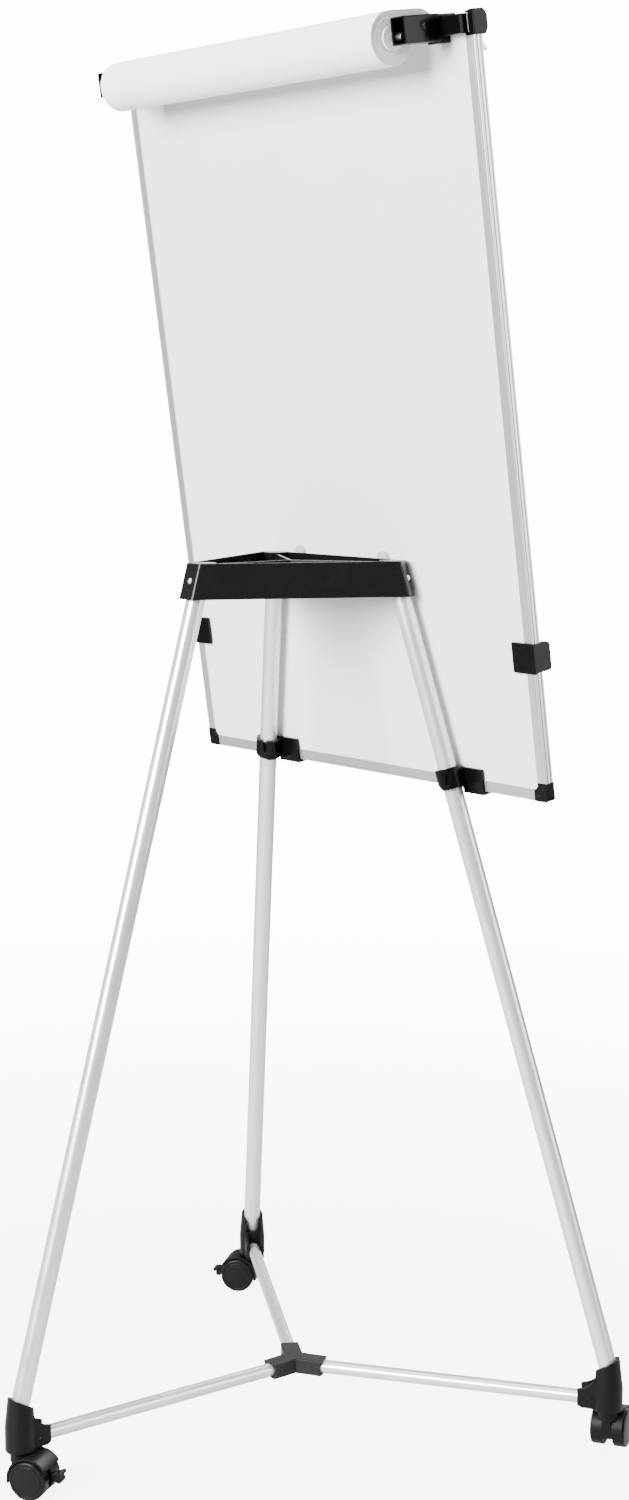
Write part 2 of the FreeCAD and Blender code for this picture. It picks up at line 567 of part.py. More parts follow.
def hung_sheet():
    """Paper from the top of the roll, over the rail and down the board's face."""
    start = ROLL_U + ROLL_R + 0.5
    path = [(ROLL_N, start), (40, start), (20, start), (14, start - 0.3), (9, start - 1.5)]
    path += [(4, start - 3.8), (-1, start - 6.6), (-5, start - 9.2)]
    for angle in (120.0, 140.0, 160.0, 180.0):
        a = radians(angle)
        path.append((-BOARD_T + 2.5 + 3.0 * cos(a), RAIL_HIGH - 2.5 + 3.0 * sin(a)))
    path += [(-BOARD_T - 0.5, 500), (-BOARD_T - 0.5, SHEET_LOW)]
    upper, lower = [], []
    for i, (n, u) in enumerate(path):
        a = path[max(i - 1, 0)]
        b = path[min(i + 1, len(path) - 1)]
        dn, du = b[0] - a[0], b[1] - a[1]
        size = sqrt(dn * dn + du * du)
        off = PAPER_T / 2
        upper.append(V(-ROLL_X, n + du / size * off, u - dn / size * off))
        lower.append(V(-ROLL_X, n - du / size * off, u + dn / size * off))
    return on_board(extruded(upper + lower[::-1], V(2 * ROLL_X, 0, 0)))


# ---------------------------------------------------------------- write the parts
BOUNDS = []


def write_base():
    save("head_shell", head_shell())
    save("head_screws", head_screws())
    save("head_bumpers", head_bumpers())
    for side in TURN:
        save("leg_tube_" + side, leg_tube(side))
        save("foot_bracket_" + side, foot_bracket(side))
        save("strut_" + side, strut(side))
    save("base_hub", hub())
    save("hub_screws", hub_screws())
    save("foot_screws", foot_screws())


def write_casters():
    for side in TURN:
        save("caster_hood_" + side, placed_caster(caster_hood(), side))
        save("caster_axle_" + side, placed_caster(caster_axle(), side))
        save("wheel_a_" + side, placed_caster(wheel(-1), side))
        save("wheel_b_" + side, placed_caster(wheel(1), side))
        save("brake_lever_" + side, placed_caster(brake_lever(side), side))


def write_board():
    for name, sign in (("left", -1), ("right", 1)):
        save("frame_" + name, frame_side(sign))
        save("frame_corner_" + name, corner_piece(sign))
        save("end_cap_" + name, end_cap(sign))
        save("tray_clip_" + name, tray_clip(sign))
        save("roll_arm_" + name, roll_arm(sign))
        save("leg_clip_" + name, leg_clip(name))
    save("frame_bottom", frame_bottom())
    save("rear_sheet", panel(SLOT_REAR - SKIN, SLOT_REAR))
    save("board_core", panel(SLOT_FRONT + SKIN, SLOT_REAR - SKIN))
    save("writing_sheet", panel(SLOT_FRONT, SLOT_FRONT + SKIN))
    save("top_rail", top_rail())
    save("clamp_bar", clamp_bar())
    save("pen_tray", pen_tray())
    save("roll_arm_screws", arm_screws())


def write_roll():
    save("roll_spindle", roll_spindle())
    save("roll_plugs", roll_plugs())
    save("roll_core", roll_core())
    save("paper_roll", paper_roll())
    save("hung_sheet", hung_sheet())


write_base()
write_casters()
write_board()
write_roll()
total = BOUNDS[0]
for bound in BOUNDS[1:]:
    total.add(bound)
print("box x %.4f %.4f  y %.4f %.4f  z %.4f %.4f" % (
    total.XMin, total.XMax, total.YMin, total.YMax, total.ZMin, total.ZMax))
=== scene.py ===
"""Looks of a mobile flipchart easel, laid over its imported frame.

Lengths are in metres in the frame's own axes: +Z up, -Y the writing side, +Y the rear leg's side.
"""

import json
from math import radians

import bpy
import numpy as np
from bpy.props import FloatProperty, FloatVectorProperty, IntProperty, PointerProperty
from bpy.types import Operator, Panel, PropertyGroup
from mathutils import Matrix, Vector


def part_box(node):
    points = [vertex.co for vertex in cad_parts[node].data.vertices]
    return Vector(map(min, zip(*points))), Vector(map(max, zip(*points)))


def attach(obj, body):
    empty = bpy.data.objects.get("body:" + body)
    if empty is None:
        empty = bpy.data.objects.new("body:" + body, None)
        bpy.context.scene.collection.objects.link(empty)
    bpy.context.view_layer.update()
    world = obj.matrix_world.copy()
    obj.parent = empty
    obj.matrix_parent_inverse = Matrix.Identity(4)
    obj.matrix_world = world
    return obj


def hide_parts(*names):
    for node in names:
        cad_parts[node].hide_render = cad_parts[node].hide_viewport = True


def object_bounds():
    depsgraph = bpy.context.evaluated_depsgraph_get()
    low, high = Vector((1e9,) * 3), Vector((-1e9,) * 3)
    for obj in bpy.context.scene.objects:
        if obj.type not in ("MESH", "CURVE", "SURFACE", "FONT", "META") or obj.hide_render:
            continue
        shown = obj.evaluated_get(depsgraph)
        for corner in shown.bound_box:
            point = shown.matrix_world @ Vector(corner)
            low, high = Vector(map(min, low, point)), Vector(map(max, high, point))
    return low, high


bl_info = {
    "name": "Flipchart easel",
    "version": (1, 0, 0),
    "blender": (4, 5, 0),
    "location": "3D View > Sidebar > Easel",
    "description": "Builds the finishes, paper and studio of a mobile flipchart easel",
    "category": "Object",
}

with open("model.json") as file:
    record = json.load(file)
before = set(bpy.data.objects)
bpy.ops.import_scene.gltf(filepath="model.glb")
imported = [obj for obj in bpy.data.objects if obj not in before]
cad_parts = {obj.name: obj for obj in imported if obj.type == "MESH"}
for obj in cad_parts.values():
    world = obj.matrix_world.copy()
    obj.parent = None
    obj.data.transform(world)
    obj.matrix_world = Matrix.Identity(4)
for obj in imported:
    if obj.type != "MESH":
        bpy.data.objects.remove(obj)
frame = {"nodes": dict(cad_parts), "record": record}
NODES = frame["nodes"]
JOINTS = {joint["name"]: joint for joint in frame["record"]["behaviour"]["joints"]}
CAD_BOX = [list(corner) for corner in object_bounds()]

# Places on the board's own axes, (rearward, up): the clamp bar's pin, the front corner of the
# top rail that the paper turns round, the paper's plane and the height of its lower edge.
PIN_AT = (-0.017, 0.940)
RAIL_CORNER = (-0.0105, 0.9435)
TURN_RADIUS = 0.003
PAPER_PLANE = -0.0135
PAPER_LOW = 0.212

# The board leans back: its own "up" and rearward directions, and where its own axes start.
BOARD_UP = np.array(JOINTS["board_height"]["axis"])
BOARD_LEAN = float(np.arcsin(BOARD_UP[1]))
BOARD_REAR = np.array([0.0, BOARD_UP[2], -BOARD_UP[1]])
BOARD_FOOT = (np.array(JOINTS["clamp_bar_hinge"]["pos_m"]) - PIN_AT[0] * BOARD_REAR
              - PIN_AT[1] * BOARD_UP)


def tint(default, name, about):
    """A colour property."""
    return FloatVectorProperty(name=name, description=about, subtype="COLOR", size=3, min=0.0,
                               max=1.0, default=default)


# ------------------------------------------------------------------------------ settings
class EaselFinish(PropertyGroup):
    """Colours and surface character of every finish."""

    plastic: tint((0.0034, 0.0035, 0.0038), "Black plastic", "Feet, casters, arms, caps and clips")
    gloss: tint((0.0018, 0.0019, 0.0021), "Gloss plastic", "Arms, caps, collars and tray clips")
    head: tint((0.0040, 0.0041, 0.0047), "Head", "Smooth moulding that holds the three legs")
    hub: tint((0.0132, 0.0136, 0.0148), "Hub", "Greyer moulding where the three struts meet")
    tube: tint((0.70, 0.692, 0.676), "Tube paint", "Legs and struts")
    profile: tint((0.70, 0.70, 0.70), "Profile", "Anodised uprights of the board's frame")
    profile_across: tint((0.60, 0.598, 0.585), "Profile across", "Bottom rail, top rail and tray")
    zinc: tint((0.60, 0.60, 0.58), "Zinc", "Screws, spindle and caster axles")
    rear: tint((0.78, 0.78, 0.795), "Rear sheet", "Coated sheet on the board's rear")
    enamel: tint((0.86, 0.86, 0.85), "Dry-wipe face", "White writing surface")
    card: tint((0.42, 0.30, 0.18), "Card", "Board core and the roll's tube")
    paper: tint((0.83, 0.83, 0.82), "Paper", "Roll and hanging sheet")
    edge_radius: FloatProperty(name="Edge radius", description="Rounding seen on sharp edges",
                               default=0.0006, min=0.0, max=0.004, unit="LENGTH", subtype="DISTANCE",
                               precision=4)


class EaselPaper(PropertyGroup):
    """How the paper is wound and hangs."""

    layers: IntProperty(name="Layers", description="Steps seen on the roll's ends", default=26,
                        min=4, max=80)
    wave: FloatProperty(name="Wave", description="How far the hanging sheet stands off the board",
                        default=0.0018, min=0.0, max=0.005, unit="LENGTH", precision=4)
    curl: FloatProperty(name="Curl", description="How far the sheet's bottom edge lifts",
                        default=0.004, min=0.0, max=0.01, unit="LENGTH", precision=4)


class EaselStage(PropertyGroup):
    """Floor, lamps and camera."""

    floor: tint((0.93, 0.93, 0.93), "Floor", "Plain pale floor")
    key: FloatProperty(name="Key lamp", description="Power of the large soft lamp", default=1000.0,
                       min=0.0, unit="POWER")
    fill: FloatProperty(name="Fill lamp", description="Power of the lamps on the other sides",
                        default=330.0, min=0.0, unit="POWER")
    backdrop: FloatProperty(name="Backdrop", description="Brightness of the room to the eye",
                            default=15.0, min=0.0)
    room: FloatProperty(name="Room light", description="Brightness of the room in reflections",
                        default=0.35, min=0.0)
    lens: FloatProperty(name="Lens", description="Focal length", default=58.35, min=10.0,
                        subtype="DISTANCE_CAMERA")
    stand: FloatVectorProperty(name="Camera place", description="Where the camera stands",
                               default=(-2.4947, 1.8719, 1.3510), size=3, subtype="TRANSLATION",
                               unit="LENGTH")
    turn: FloatVectorProperty(name="Camera turn", description="Pitch, roll and yaw of the camera",
                              default=(radians(81.8692), radians(0.2054), radians(231.0236)),
                              size=3, subtype="EULER")


# ------------------------------------------------------------------------------ node helpers
class Web:
    """Short way to add and join nodes in one tree."""

    def __init__(self, tree):
        self.tree = tree

    def add(self, kind, **values):
        node = self.tree.nodes.new(kind)
        for key, value in values.items():
            setattr(node, key, value)
        return node

    def link(self, out, into):
        self.tree.links.new(out, into)

    def put(self, socket, value):
        """Join a socket to another, or set it to a plain value."""
        if isinstance(value, bpy.types.NodeSocket):
            self.link(value, socket)
        elif value is not None:
            socket.default_value = value

    def math(self, how, a, b=None, c=None, clamp=False):
        node = self.add("ShaderNodeMath", operation=how, use_clamp=clamp)
        for socket, value in zip(node.inputs, (a, b, c)):
            self.put(socket, value)
        return node.outputs[0]

    def remap(self, value, low, high, to_low, to_high):
        node = self.add("ShaderNodeMapRange")
        for socket, entry in zip(node.inputs, (value, low, high, to_low, to_high)):
            self.put(socket, entry)
        return node.outputs[0]

    def mix(self, factor, a, b, how="MIX"):
        node = self.add("ShaderNodeMix", data_type="RGBA", blend_type=how, clamp_factor=True)
        self.put(node.inputs["Factor"], factor)
        self.put(node.inputs["A"], a)
        self.put(node.inputs["B"], b)
        return node.outputs["Result"]

    def noise(self, where, scale, detail=3.0, rough=0.5):
        node = self.add("ShaderNodeTexNoise")
        self.put(node.inputs["Vector"], where)
        self.put(node.inputs["Scale"], scale)
        self.put(node.inputs["Detail"], detail)
        self.put(node.inputs["Roughness"], rough)
        return node.outputs["Fac"]


def new_group(name, inputs, outputs):
    """Empty node group with float, colour or vector sockets; returns its web, inputs and outputs."""
    tree = bpy.data.node_groups.new(name, "ShaderNodeTree")
    kinds = {"f": "NodeSocketFloat", "c": "NodeSocketColor", "v": "NodeSocketVector"}
    for label, kind, default in inputs:
        socket = tree.interface.new_socket(label, in_out="INPUT", socket_type=kinds[kind])
        if default is not None:
            socket.default_value = default
    for label, kind in outputs:
        tree.interface.new_socket(label, in_out="OUTPUT", socket_type=kinds[kind])
    web = Web(tree)
    given = web.add("NodeGroupInput").outputs
    result = web.add("NodeGroupOutput").inputs
    return web, given, result


def group_soft_edge():
    """Rounds the look of sharp edges, and gives a mask that is 1 on an edge and 0 on flats.

    The mask is how far the rounded normal turns from the flat one, worn away in patches. Where a
    finish lightens edges with it, that is partly wear and partly painted highlight."""
    web, given, result = new_group("soft_edge", [("Radius", "f", 0.0006), ("Wear", "f", 0.5)],
                                   [("Normal", "v"), ("Edge", "f")])
    near = web.add("ShaderNodeBevel", samples=4)
    web.put(near.inputs["Radius"], given["Radius"])
    wide = web.add("ShaderNodeBevel", samples=4)
    web.put(wide.inputs["Radius"], web.math("MULTIPLY", given["Radius"], 1.8))
    facing = web.add("ShaderNodeNewGeometry").outputs["Normal"]
    dot = web.add("ShaderNodeVectorMath", operation="DOT_PRODUCT")
    web.put(dot.inputs[0], wide.outputs[0])
    web.put(dot.inputs[1], facing)
    turn = web.remap(dot.outputs["Value"], 0.995, 0.85, 0.0, 1.0)
    where = web.add("ShaderNodeTexCoord").outputs["Object"]
    patch = web.remap(web.noise(where, 90.0, 4.0, 0.6), 0.42, 0.62, 0.0, 1.0)
    # Edge mask: partly wear, partly painted highlight where a finish lightens edges with it.
    worn_and_highlit = web.math("MULTIPLY", turn, patch)
    web.link(near.outputs[0], result["Normal"])
    web.link(web.math("MULTIPLY", worn_and_highlit, given["Wear"], clamp=True), result["Edge"])
    return web.tree


def group_grain():
    """Fine even texture of a moulded or coated surface.

    Two noises at once: a fine one for height and a slow one for how rough each area is."""
    web, given, result = new_group(
        "grain", [("Size", "f", 900.0), ("Depth", "f", 0.02), ("Rough Low", "f", 0.3),
                  ("Rough High", "f", 0.5), ("Normal", "v", None)],
        [("Roughness", "f"), ("Normal", "v"), ("Patch", "f")])
    where = web.add("ShaderNodeTexCoord").outputs["Object"]
    fine = web.noise(where, given["Size"], 2.0, 0.5)
    slow = web.noise(where, 14.0, 4.0, 0.6)
    bump = web.add("ShaderNodeBump")
    web.put(bump.inputs["Strength"], given["Depth"])
    web.put(bump.inputs["Distance"], 0.001)
    web.put(bump.inputs["Height"], fine)
    web.put(bump.inputs["Normal"], given["Normal"])
    rough = web.add("ShaderNodeMapRange")
    for socket, entry in zip(rough.inputs, (slow, 0.35, 0.65)):
        web.put(socket, entry)
    web.put(rough.inputs[3], given["Rough Low"])
    web.put(rough.inputs[4], given["Rough High"])
    web.link(rough.outputs[0], result["Roughness"])
    web.link(bump.outputs[0], result["Normal"])
    web.link(slow, result["Patch"])
    return web.tree


def group_dust():
    """Thin dust on faces that look up: the upward part of the normal times a patchy noise."""
    web, given, result = new_group("dust", [("Amount", "f", 0.3)], [("Dust", "f")])
    normal = web.add("ShaderNodeSeparateXYZ")
    web.put(normal.inputs[0], web.add("ShaderNodeNewGeometry").outputs["Normal"])
    up = web.remap(normal.outputs[2], 0.55, 1.0, 0.0, 1.0)
    where = web.add("ShaderNodeTexCoord").outputs["Object"]
    patch = web.remap(web.noise(where, 45.0, 5.0, 0.65), 0.38, 0.70, 0.15, 1.0)
    both = web.math("MULTIPLY", up, patch)
    web.link(web.math("MULTIPLY", both, given["Amount"], clamp=True), result["Dust"])
    return web.tree


def group_drawn():
    """Fine lines of a drawn or brushed profile, running along the pattern's Z.

    A noise squeezed across and stretched along its length."""
    web, given, result = new_group(
        "drawn_lines", [("Turn", "v", None), ("Depth", "f", 0.05), ("Normal", "v", None)],
        [("Line", "f"), ("Normal", "v")])
    where = web.add("ShaderNodeTexCoord").outputs["Object"]
    turned = web.add("ShaderNodeMapping", vector_type="POINT")
    web.put(turned.inputs["Vector"], where)
    web.put(turned.inputs["Rotation"], given["Turn"])
    squeezed = web.add("ShaderNodeMapping", vector_type="POINT")
    squeezed.inputs["Scale"].default_value = (1800.0, 1800.0, 6.0)
    web.link(turned.outputs[0], squeezed.inputs["Vector"])
    line = web.noise(squeezed.outputs[0], 1.0, 3.0, 0.6)
    bump = web.add("ShaderNodeBump")
    web.put(bump.inputs["Strength"], given["Depth"])
    web.put(bump.inputs["Distance"], 0.0005)
    web.put(bump.inputs["Height"], line)
    web.put(bump.inputs["Normal"], given["Normal"])
    web.link(line, result["Line"])
    web.link(bump.outputs[0], result["Normal"])
    return web.tree


def shared(name):
    """A shared node group by name, built the first time it is asked for."""
    makers = {"soft_edge": group_soft_edge, "grain": group_grain, "dust": group_dust,
              "drawn_lines": group_drawn}
    return bpy.data.node_groups.get(name) or makers[name]()


class Finish(Web):
    """A material with one Principled shader and the shared groups."""

    def __init__(self, name):
        self.material = bpy.data.materials.new(name)
        self.material.use_nodes = True
        super().__init__(self.material.node_tree)
        self.tree.nodes.clear()
        self.shader = self.add("ShaderNodeBsdfPrincipled")
        self.end = self.add("ShaderNodeOutputMaterial")
        self.link(self.shader.outputs[0], self.end.inputs["Surface"])

    def use(self, name, **values):
        node = self.add("ShaderNodeGroup", node_tree=shared(name))
        for key, value in values.items():
            self.put(node.inputs[key.replace("_", " ")], value)
        return node.outputs

    def set(self, **values):
        for key, value in values.items():
            self.put(self.shader.inputs[key.replace("_", " ")], value)

    def coords(self):
        return self.add("ShaderNodeTexCoord").outputs["Object"]


def rgba(colour, gain=1.0):
    """A colour made brighter or darker, with full alpha."""
    return (*(min(c * gain, 1.0) for c in colour), 1.0)


# ------------------------------------------------------------------------------ finishes
def moulded(name, colour, size, depth, low, high, radius, gloss=0.3, dust=0.25, wear_and_highlight=0.35):
    """Black or grey moulding: fine spark texture, edges lightened partly as wear and partly as
    painted highlight, and thin dust on top.
    """
    mat = Finish(name)
    edge = mat.use("soft_edge", Radius=radius, Wear=wear_and_highlight)
    skin = mat.use("grain", Size=size, Depth=depth, Rough_Low=low, Rough_High=high,
                   Normal=edge["Normal"])
    body = mat.mix(skin["Patch"], rgba(colour, 0.88), rgba(colour, 1.14))
    # Lighter edge colour: partly wear, partly painted highlight.
    worn_and_highlit = mat.mix(edge["Edge"], body, rgba(tuple(c * 2.2 + 0.012 for c in colour)))
    top = mat.use("dust", Amount=dust)["Dust"]
    mat.set(Base_Color=mat.mix(mat.math("MULTIPLY", top, 0.07), worn_and_highlit, (0.36, 0.35, 0.33, 1.0)),
            Roughness=mat.math("ADD", skin["Roughness"], mat.math("MULTIPLY", top, 0.18)),
            Normal=skin["Normal"])
    mat.set(IOR=1.46, Specular_IOR_Level=gloss)
    return mat.material


def coated_tube(name, colour, radius):
    """Silver-white powder coat with soft orange peel and the odd rub mark."""
    mat = Finish(name)
    edge = mat.use("soft_edge", Radius=radius, Wear=0.3)
    skin = mat.use("grain", Size=420.0, Depth=0.10, Rough_Low=0.20, Rough_High=0.30,
                   Normal=edge["Normal"])
    body = mat.mix(skin["Patch"], rgba(colour, 0.975), rgba(colour, 1.02))
    rub = mat.remap(mat.noise(mat.coords(), 26.0, 6.0, 0.72), 0.66, 0.72, 0.0, 0.10)
    mat.set(Base_Color=mat.mix(rub, body, rgba(colour, 0.82)), Roughness=skin["Roughness"],
            Normal=skin["Normal"])
    mat.set(Metallic=0.62, IOR=1.5)
    return mat.material


def anodised(name, colour, turn, radius):
    """Natural anodised profile: drawn lines along its length under a clear satin film."""
    mat = Finish(name)
    edge = mat.use("soft_edge", Radius=radius, Wear=0.4)
    drawn = mat.use("drawn_lines", Turn=turn, Depth=0.22, Normal=edge["Normal"])
    body = mat.mix(drawn["Line"], rgba(colour, 0.90), rgba(colour, 1.08))
    # Edges lightened by the edge mask: partly wear, partly painted highlight.
    mat.set(Base_Color=mat.mix(edge["Edge"], body, rgba(colour, 1.25)),
            Roughness=mat.remap(drawn["Line"], 0.3, 0.7, 0.27, 0.38), Normal=drawn["Normal"])
    mat.set(Metallic=0.84)
    return mat.material


def zinc_plate(name, colour, radius):
    """Bright zinc with slow cloudy patches."""
    mat = Finish(name)
    edge = mat.use("soft_edge", Radius=radius, Wear=0.4)
    skin = mat.use("grain", Size=1500.0, Depth=0.05, Rough_Low=0.26, Rough_High=0.40,
                   Normal=edge["Normal"])
    mat.set(Base_Color=mat.mix(skin["Patch"], rgba(colour, 0.85), rgba(colour, 1.1)),
            Roughness=skin["Roughness"], Normal=skin["Normal"])
    mat.set(Metallic=1.0)
    return mat.material


def coated_sheet(name, colour, low, high, coat):
    """Coil-coated steel sheet: nearly flat, with slow waves and a fine peel."""
    mat = Finish(name)
    where = mat.coords()
    skin = mat.use("grain", Size=260.0, Depth=0.05, Rough_Low=low, Rough_High=high)
    wave = mat.add("ShaderNodeBump")
    mat.put(wave.inputs["Strength"], 0.12)
    mat.put(wave.inputs["Distance"], 0.004)
    mat.put(wave.inputs["Height"], mat.noise(where, 5.0, 1.0, 0.4))
    mat.put(wave.inputs["Normal"], skin["Normal"])
    body = mat.mix(skin["Patch"], rgba(colour, 0.985), rgba(colour, 1.01))
    fleck = mat.remap(mat.noise(where, 160.0, 2.0, 0.5), 0.74, 0.78, 0.0, 0.10)
    mat.set(Base_Color=mat.mix(fleck, body, rgba(colour, 0.7)), Roughness=skin["Roughness"],
            Normal=wave.outputs[0])
    mat.set(Coat_Weight=coat, Coat_Roughness=0.08, IOR=1.5)
    return mat.material


def fibrous(name, colour, size, contrast, depth, rough):
    """Paper or card: short fibres as two crossed stretched noises."""
    mat = Finish(name)
    where = mat.coords()
    fibre = []
    for scale in ((size, size * 0.18, size), (size * 0.18, size, size * 0.6)):
        squeeze = mat.add("ShaderNodeMapping")
        squeeze.inputs["Scale"].default_value = scale
        mat.link(where, squeeze.inputs["Vector"])
        fibre.append(mat.noise(squeeze.outputs[0], 1.0, 4.0, 0.65))
    weave = mat.math("MULTIPLY", mat.math("ADD", fibre[0], fibre[1]), 0.5)
    bump = mat.add("ShaderNodeBump")
    mat.put(bump.inputs["Strength"], depth)
    mat.put(bump.inputs["Distance"], 0.0003)
    mat.put(bump.inputs["Height"], weave)
    cloudy = mat.noise(where, 22.0, 3.0, 0.6)
    body = mat.mix(mat.remap(weave, 0.35, 0.65, 0.0, 1.0), rgba(colour, 1.0 - contrast),
                   rgba(colour, 1.0 + contrast * 0.4))
    mat.set(Base_Color=mat.mix(mat.math("MULTIPLY", cloudy, 0.3), body, rgba(colour, 1 - contrast)),
            Roughness=mat.remap(weave, 0.3, 0.7, rough - 0.08, rough + 0.06),
            Normal=bump.outputs[0])
    mat.set(IOR=1.45)
    return mat.material


def clear_rubber(name):
    """Milky clear disc, half of its light passing through."""
    mat = Finish(name)
    edge = mat.use("soft_edge", Radius=0.0008, Wear=0.0)
    skin = mat.use("grain", Size=700.0, Depth=0.05, Rough_Low=0.18, Rough_High=0.32,
                   Normal=edge["Normal"])
    mat.set(Base_Color=mat.mix(skin["Patch"], (0.72, 0.74, 0.74, 1), (0.82, 0.84, 0.84, 1)),
            Roughness=skin["Roughness"], Normal=skin["Normal"])
    mat.set(Transmission_Weight=0.55, IOR=1.44)
    return mat.material


def make_finishes(look):
    """Every material by the record's slot, with a second one for profiles that run across."""
    radius = look.edge_radius
    up = (-BOARD_LEAN, 0.0, 0.0)
    return {
        "black_gloss": moulded("head_moulding", look.head, 1100.0, 0.05, 0.22, 0.30, radius * 1.6,
                               gloss=0.24, dust=0.12),
        "black_plastic": moulded("black_moulding", look.plastic, 1500.0, 0.16, 0.34, 0.46, radius,
                                 gloss=0.12, dust=0.12),
        "gloss": moulded("gloss_moulding", look.gloss, 1100.0, 0.05, 0.14, 0.22, radius * 1.4,
                         gloss=0.14, dust=0.05),
        "hub_plastic": moulded("hub_moulding", look.hub, 1300.0, 0.22, 0.42, 0.55, radius,
                               gloss=0.16, dust=0.15),
        "wheel_plastic": moulded("wheel_moulding", look.plastic, 1500.0, 0.06, 0.24, 0.34, radius,
                                 gloss=0.14, dust=0.06),
        "leg_paint": coated_tube("tube_coat", look.tube, radius),
        "frame_aluminium": anodised("profile_up", look.profile, up, radius),
        "across": anodised("profile_across", look.profile_across, (0.0, radians(90.0), 0.0), radius),
        "steel": zinc_plate("zinc", look.zinc, radius),
        "black_steel": moulded("black_zinc", look.plastic, 1500.0, 0.05, 0.22, 0.34, radius,
                               gloss=0.6),
        "white_plastic": moulded("white_moulding", look.paper, 1500.0, 0.10, 0.36, 0.46, radius,
                                 gloss=0.5, dust=0.0, wear_and_highlight=0.0),
        "clear_bumper": clear_rubber("clear_bumper"),
        "rear_enamel": coated_sheet("rear_coat", look.rear, 0.42, 0.52, 0.0),
        "board_enamel": coated_sheet("dry_wipe", look.enamel, 0.16, 0.22, 0.6),
        "core_card": fibrous("card", look.card, 700.0, 0.22, 0.5, 0.85),
        "paper": fibrous("paper", look.paper, 900.0, 0.02, 0.35, 0.78),
    }


# Profiles that run across the board, and the glossier mouldings on it.
OTHER_FINISH = {
    **dict.fromkeys(("frame_bottom", "top_rail", "clamp_bar", "pen_tray"), "across"),
    **dict.fromkeys((part + side for side in ("left", "right") for part in
                     ("roll_arm_", "end_cap_", "frame_corner_", "leg_clip_", "tray_clip_")),
                    "gloss"),
}


# ------------------------------------------------------------------------------ operators
class EASEL_OT_finishes(Operator):
    """Give every part of the frame its finish"""

    bl_idname = "easel.finishes"
    bl_label = "Finishes"

    def execute(self, context):
        made = make_finishes(context.scene.easel_finish)
        slots = {entry["node"]: entry["material_slot"] for entry in frame["record"]["subparts"]}
        for name, node in NODES.items():
            finish = made[OTHER_FINISH.get(name, slots[name])]
            node.data.materials.clear()
            node.data.materials.append(finish)
        return {"FINISHED"}


# ------------------------------------------------------------------------------ shapes
def on_board(x, n, u):
    """Points from the board's own axes: FOOT + x*(1, 0, 0) + n*rearward + u*up the board."""
    x, n, u = np.broadcast_arrays(x, n, u)
    return (BOARD_FOOT + x[..., None] * np.array([1.0, 0.0, 0.0]) + n[..., None] * BOARD_REAR
            + u[..., None] * BOARD_UP)


def grid_faces(rows, columns, wrap=False):
    """Quads that join each point of a grid to its neighbours, closed round both ways if wrap."""
    r, c = np.meshgrid(np.arange(rows - (not wrap)), np.arange(columns - (not wrap)), indexing="ij")
    down, beside = (r + 1) % rows, (c + 1) % columns
    quads = [r * columns + c, r * columns + beside, down * columns + beside, down * columns + c]
    return np.stack(quads, -1).reshape(-1, 4)


def new_piece(name, points, faces, finish, body):
    """Smooth piece at the origin from points and quads, sharp past 35 degrees, on a body."""
    mesh = bpy.data.meshes.new(name)
    mesh.from_pydata(points.reshape(-1, 3).tolist(), [], faces.tolist())
    mesh.polygons.foreach_set("use_smooth", np.ones(len(mesh.polygons), dtype=bool))
    mesh.set_sharp_from_angle(angle=radians(35.0))
    mesh.materials.append(bpy.data.materials[finish])
    obj = bpy.data.objects.new(name, mesh)
    bpy.context.collection.objects.link(obj)
    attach(obj, body)
    return obj


def waves_round(seed, count):
    """Whole-number waves round a circle as (turns, size, phase), with sizes that add up to 1."""
    draw = np.random.default_rng(seed)
    size = draw.uniform(0.4, 1.0, count)
    return list(zip(draw.integers(1, 9, count).tolist(), (size / size.sum()).tolist(),
                    draw.uniform(0.0, 2.0 * np.pi, count).tolist()))


# ------------------------------------------------------------------------------ paper
class EASEL_OT_paper_roll(Operator):
    """Wind the paper roll, with layers that stand in and out at its ends"""

    bl_idname = "easel.paper_roll"
    bl_label = "Paper roll"

    def execute(self, context):
        low, high = (np.array(corner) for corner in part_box("paper_roll"))
        core_low, core_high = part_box("roll_core")
        outline = self.outline((high[0] - low[0]) / 2, (core_high[2] - core_low[2]) / 2 + 0.0003,
                               (high[2] - low[2]) / 2, context.scene.easel_paper.layers)
        points = self.turned(outline, (low + high) / 2)
        roll = new_piece("wound_roll", points, grid_faces(*points.shape[:2], wrap=True), "paper",
                         "roll")
        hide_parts("paper_roll")
        return {"FINISHED"}

    def outline(self, half, core, outer, layers):
        """Closed (along, radius) outline. Layer k fills radii core + (outer - core)*[k, k+1]/layers
        and ends at half less a fixed random draw; out one end, along the outside, back down."""
        draw = np.random.default_rng(7)
        radii = np.repeat(np.linspace(core, outer, layers + 1), 2)[1:-1]
        left, right = (np.repeat(draw.uniform(0.0, 0.0008, layers), 2) for _ in range(2))
        outside = np.linspace(-half + 0.001, half - 0.001, 40)
        return np.concatenate([np.stack([-half + left, radii], -1),
                               np.stack([outside, np.full(40, outer)], -1),
                               np.stack([half - right, radii], -1)[::-1]])

    def turned(self, outline, middle, steps=160):
        """Outline carried round the axis: at angle t a point is middle + (along - dent,
        r cos t, r sin t), where dent, near the ends only, is a sum of waves of t and r."""
        t = np.linspace(0.0, 2.0 * np.pi, steps, endpoint=False)[None, :]
        along, radius = outline[:, :1], outline[:, 1:]
        half = np.abs(along).max()
        near = np.clip((np.abs(along) - half + 0.004) / 0.004, 0.0, 1.0)
        wave = sum(size * np.sin(k * t + phase + radius * 300.0)
                   for k, size, phase in waves_round(11, 5))
        inward = np.sign(along) * near * 0.00025 * (1.0 + wave)
        return np.stack([middle[0] + along - inward, middle[1] + radius * np.cos(t),
                         middle[2] + radius * np.sin(t)], -1)


